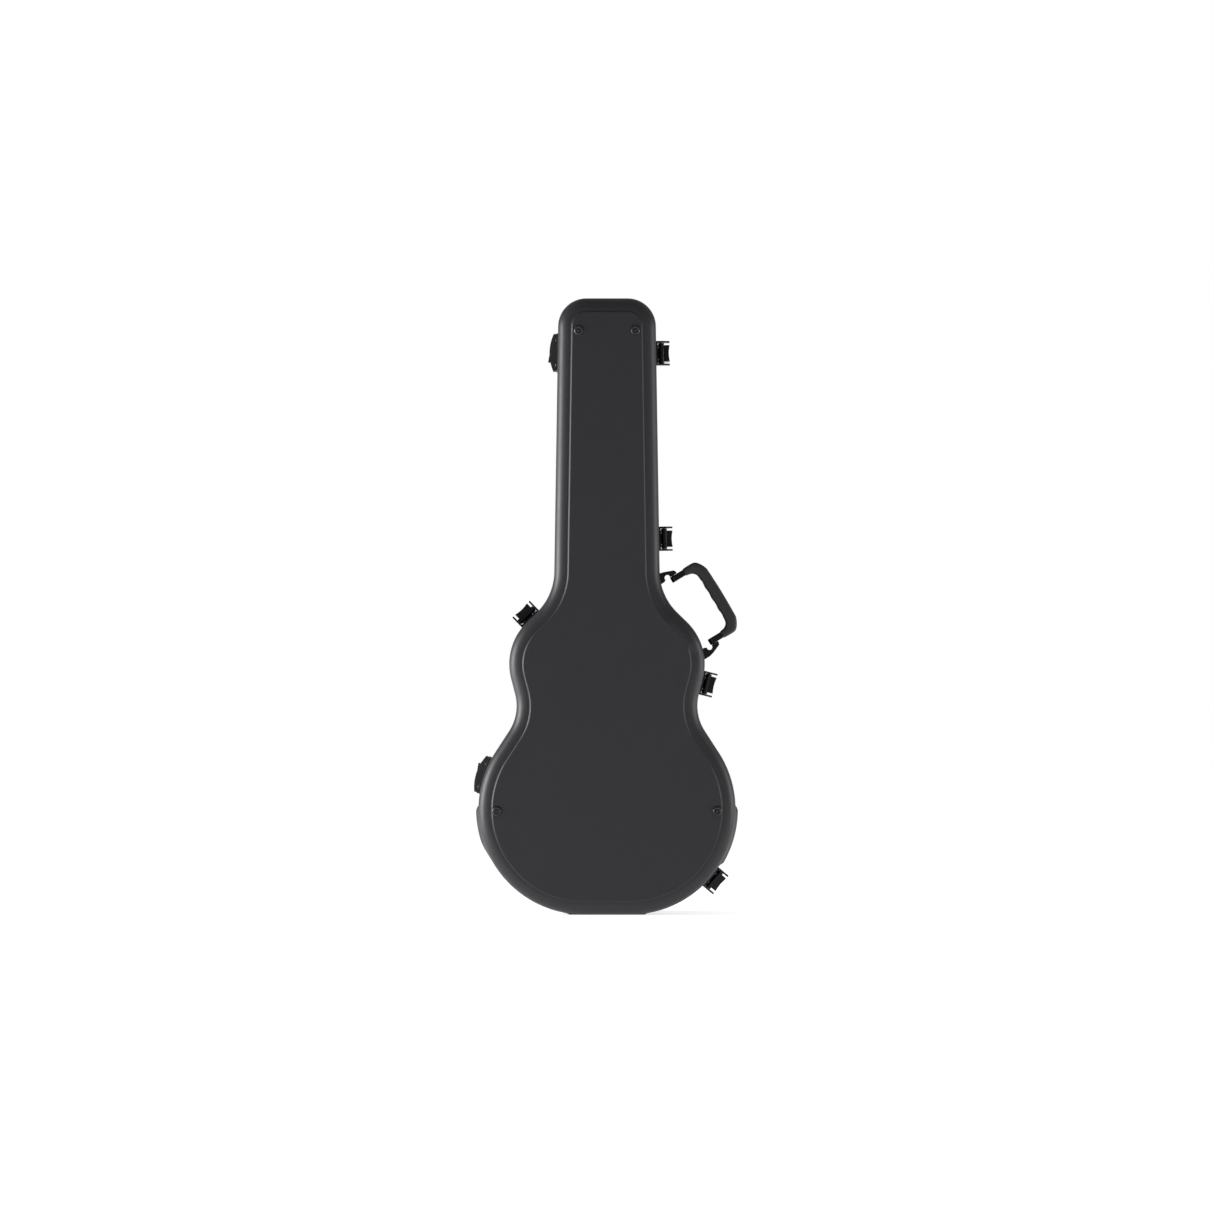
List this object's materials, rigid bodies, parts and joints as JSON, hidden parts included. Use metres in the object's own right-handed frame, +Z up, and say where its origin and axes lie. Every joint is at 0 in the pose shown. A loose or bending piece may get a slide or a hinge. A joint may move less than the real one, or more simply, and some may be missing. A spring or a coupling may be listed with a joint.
{
  "type": "guitar case",
  "caption": "Hard-shell electric-guitar case in moulded plastic with raised back panel, side hinges, draw latches, carrying handle and padded interior.",
  "frame": {"origin": "middle of the tail at the parting plane, on the face that the upright case stands on", "axes": "+Z up along the neck, +Y from the back of the base shell to the lid, +X to the handle side seen from the back"},
  "size_m": [0.4664, 0.144, 1.09],
  "materials": {
    "shell": "fine matte moulded texture",
    "hinge_plastic": "moulded, matte",
    "gloss_black": "glossy moulded nylon",
    "grip": "matte over-moulded rubber",
    "foot": "satin rubber",
    "rim_aluminium": "satin extruded",
    "steel": "plated",
    "lining": "short plush over foam",
    "compartment": "short plush over board",
    "tab": "woven tape"
  },
  "bodies": {
    "base": {"latch_1_bracket": "gloss_black", "latch_2_bracket": "gloss_black", "latch_3_bracket": "gloss_black", "latch_4_bracket": "gloss_black", "latch_5_bracket": "gloss_black", "latch_pins": "steel", "latch_rivets": "steel", "handle_bracket_upper": "gloss_black", "handle_bracket_lower": "gloss_black", "handle_pins": "steel", "hinge_upper_base_leaf": "hinge_plastic", "hinge_lower_base_leaf": "hinge_plastic", "hinge_pins": "steel", "hinge_base_rivets": "steel", "back_foot_upper_left": "foot", "back_foot_upper_right": "foot", "back_foot_lower_left": "foot", "back_foot_lower_right": "foot", "foot_screws": "steel", "base_shell": "shell", "base_rim": "rim_aluminium", "base_wall_pad": "lining", "base_floor_pad": "lining", "accessory_box": "compartment", "accessory_pin": "steel", "neck_rest": "lining"},
    "lid": {"latch_1_keeper": "gloss_black", "latch_2_keeper": "gloss_black", "latch_3_keeper": "gloss_black", "latch_4_keeper": "gloss_black", "latch_5_keeper": "gloss_black", "keeper_rivets": "steel", "hinge_upper_lid_leaf": "hinge_plastic", "hinge_lower_lid_leaf": "hinge_plastic", "hinge_lid_rivets": "steel", "lid_shell": "shell", "lid_rim": "rim_aluminium", "lid_wall_pad": "lining", "lid_floor_pad": "lining"},
    "handle": {"handle_grip": "grip", "handle_end_upper": "gloss_black", "handle_end_lower": "gloss_black"},
    "accessory_flap": {"accessory_flap": "compartment", "pull_tab": "tab"},
    "latch_1_lever": {"latch_1_lever": "gloss_black", "latch_1_trigger_pin": "steel"},
    "latch_1_trigger": {"latch_1_trigger": "gloss_black"},
    "latch_2_lever": {"latch_2_lever": "gloss_black", "latch_2_trigger_pin": "steel"},
    "latch_2_trigger": {"latch_2_trigger": "gloss_black"},
    "latch_3_lever": {"latch_3_lever": "gloss_black", "latch_3_trigger_pin": "steel"},
    "latch_3_trigger": {"latch_3_trigger": "gloss_black"},
    "latch_4_lever": {"latch_4_lever": "gloss_black", "latch_4_trigger_pin": "steel"},
    "latch_4_trigger": {"latch_4_trigger": "gloss_black"},
    "latch_5_lever": {"latch_5_lever": "gloss_black", "latch_5_trigger_pin": "steel"},
    "latch_5_trigger": {"latch_5_trigger": "gloss_black"}
  },
  "joints": [
    {"name": "lid_hinge", "type": "hinge", "parent": "base", "child": "lid", "pos_m": [-0.22738, 0, 0.24817], "axis": [0.1715, 0, 0.9852], "range_deg": [0, 105]},
    {"name": "handle_swing", "type": "hinge", "parent": "base", "child": "handle", "pos_m": [0.15355, -0.024, 0.5397], "axis": [-0.5195, 0, 0.8545], "range_deg": [-80, 80]},
    {"name": "accessory_flap_hinge", "type": "hinge", "parent": "base", "child": "accessory_flap", "pos_m": [0, -0.0184, 0.782], "axis": [1, 0, 0], "range_deg": [0, 90]},
    {"name": "latch_1_swing", "type": "hinge", "parent": "base", "child": "latch_1_lever", "pos_m": [0.09622, -0.024, 0.99414], "axis": [0.0156, 0, -0.9999], "range_deg": [0, 95]},
    {"name": "latch_1_release", "type": "hinge", "parent": "latch_1_lever", "child": "latch_1_trigger", "pos_m": [0.10692, -0.009, 0.99431], "axis": [0.0156, 0, -0.9999], "range_deg": [0, 25], "stiffness_Nm_per_rad": 0.06, "springref_deg": -11.46},
    {"name": "latch_2_swing", "type": "hinge", "parent": "base", "child": "latch_2_lever", "pos_m": [0.10135, -0.024, 0.66514], "axis": [0.0156, 0, -0.9999], "range_deg": [0, 95]},
    {"name": "latch_2_release", "type": "hinge", "parent": "latch_2_lever", "child": "latch_2_trigger", "pos_m": [0.11205, -0.009, 0.66531], "axis": [0.0156, 0, -0.9999], "range_deg": [0, 25], "stiffness_Nm_per_rad": 0.06, "springref_deg": -11.46},
    {"name": "latch_3_swing", "type": "hinge", "parent": "base", "child": "latch_3_lever", "pos_m": [0.17662, -0.024, 0.40776], "axis": [-0.2487, 0, -0.9686], "range_deg": [0, 95]},
    {"name": "latch_3_release", "type": "hinge", "parent": "latch_3_lever", "child": "latch_3_trigger", "pos_m": [0.18698, -0.009, 0.4051], "axis": [-0.2487, 0, -0.9686], "range_deg": [0, 25], "stiffness_Nm_per_rad": 0.06, "springref_deg": -11.46},
    {"name": "latch_4_swing", "type": "hinge", "parent": "base", "child": "latch_4_lever", "pos_m": [0.19049, -0.024, 0.06019], "axis": [-0.6452, 0, -0.764], "range_deg": [0, 95]},
    {"name": "latch_4_release", "type": "hinge", "parent": "latch_4_lever", "child": "latch_4_trigger", "pos_m": [0.19866, -0.009, 0.05329], "axis": [-0.6452, 0, -0.764], "range_deg": [0, 25], "stiffness_Nm_per_rad": 0.06, "springref_deg": -11.46},
    {"name": "latch_5_swing", "type": "hinge", "parent": "base", "child": "latch_5_lever", "pos_m": [-0.14219, -0.024, 0.52945], "axis": [0.7168, 0, 0.6973], "range_deg": [0, 95]},
    {"name": "latch_5_release", "type": "hinge", "parent": "latch_5_lever", "child": "latch_5_trigger", "pos_m": [-0.14965, -0.009, 0.53712], "axis": [0.7168, 0, 0.6973], "range_deg": [0, 25], "stiffness_Nm_per_rad": 0.06, "springref_deg": -11.46}
  ]
}
